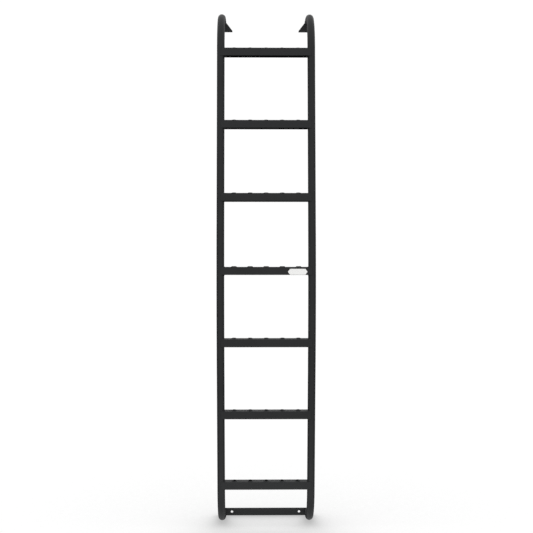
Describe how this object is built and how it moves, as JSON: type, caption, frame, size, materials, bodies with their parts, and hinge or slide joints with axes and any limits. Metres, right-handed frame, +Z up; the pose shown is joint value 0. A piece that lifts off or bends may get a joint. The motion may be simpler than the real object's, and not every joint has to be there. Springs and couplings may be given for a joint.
{
  "type": "van side ladder",
  "caption": "Fixed steel side ladder for a van: bent tube rails bowed outwards, pierced square rungs, a bottom bolt bar and bolted top plates.",
  "frame": {"origin": "centre of the bottom bar's rear face, in the mounting plane, level with the centre of the rails' bottom tails", "axes": "+Z up along the ladder, +Y out of the ladder's back towards the van's side, +X to the climber's right"},
  "size_m": [0.407, 0.32, 2.185],
  "materials": {
    "black_powder_coat": "satin black powder coat on steel",
    "white_enamel": "white enamelled sheet metal"
  },
  "bodies": {
    "root": {"left_rail": "black_powder_coat", "right_rail": "black_powder_coat", "rung_1": "black_powder_coat", "rung_2": "black_powder_coat", "rung_3": "black_powder_coat", "rung_4": "black_powder_coat", "rung_5": "black_powder_coat", "rung_6": "black_powder_coat", "rung_7": "black_powder_coat", "bottom_mount_bar": "black_powder_coat", "left_top_plate": "black_powder_coat", "right_top_plate": "black_powder_coat", "badge_plate": "white_enamel"}
  },
  "joints": []
}
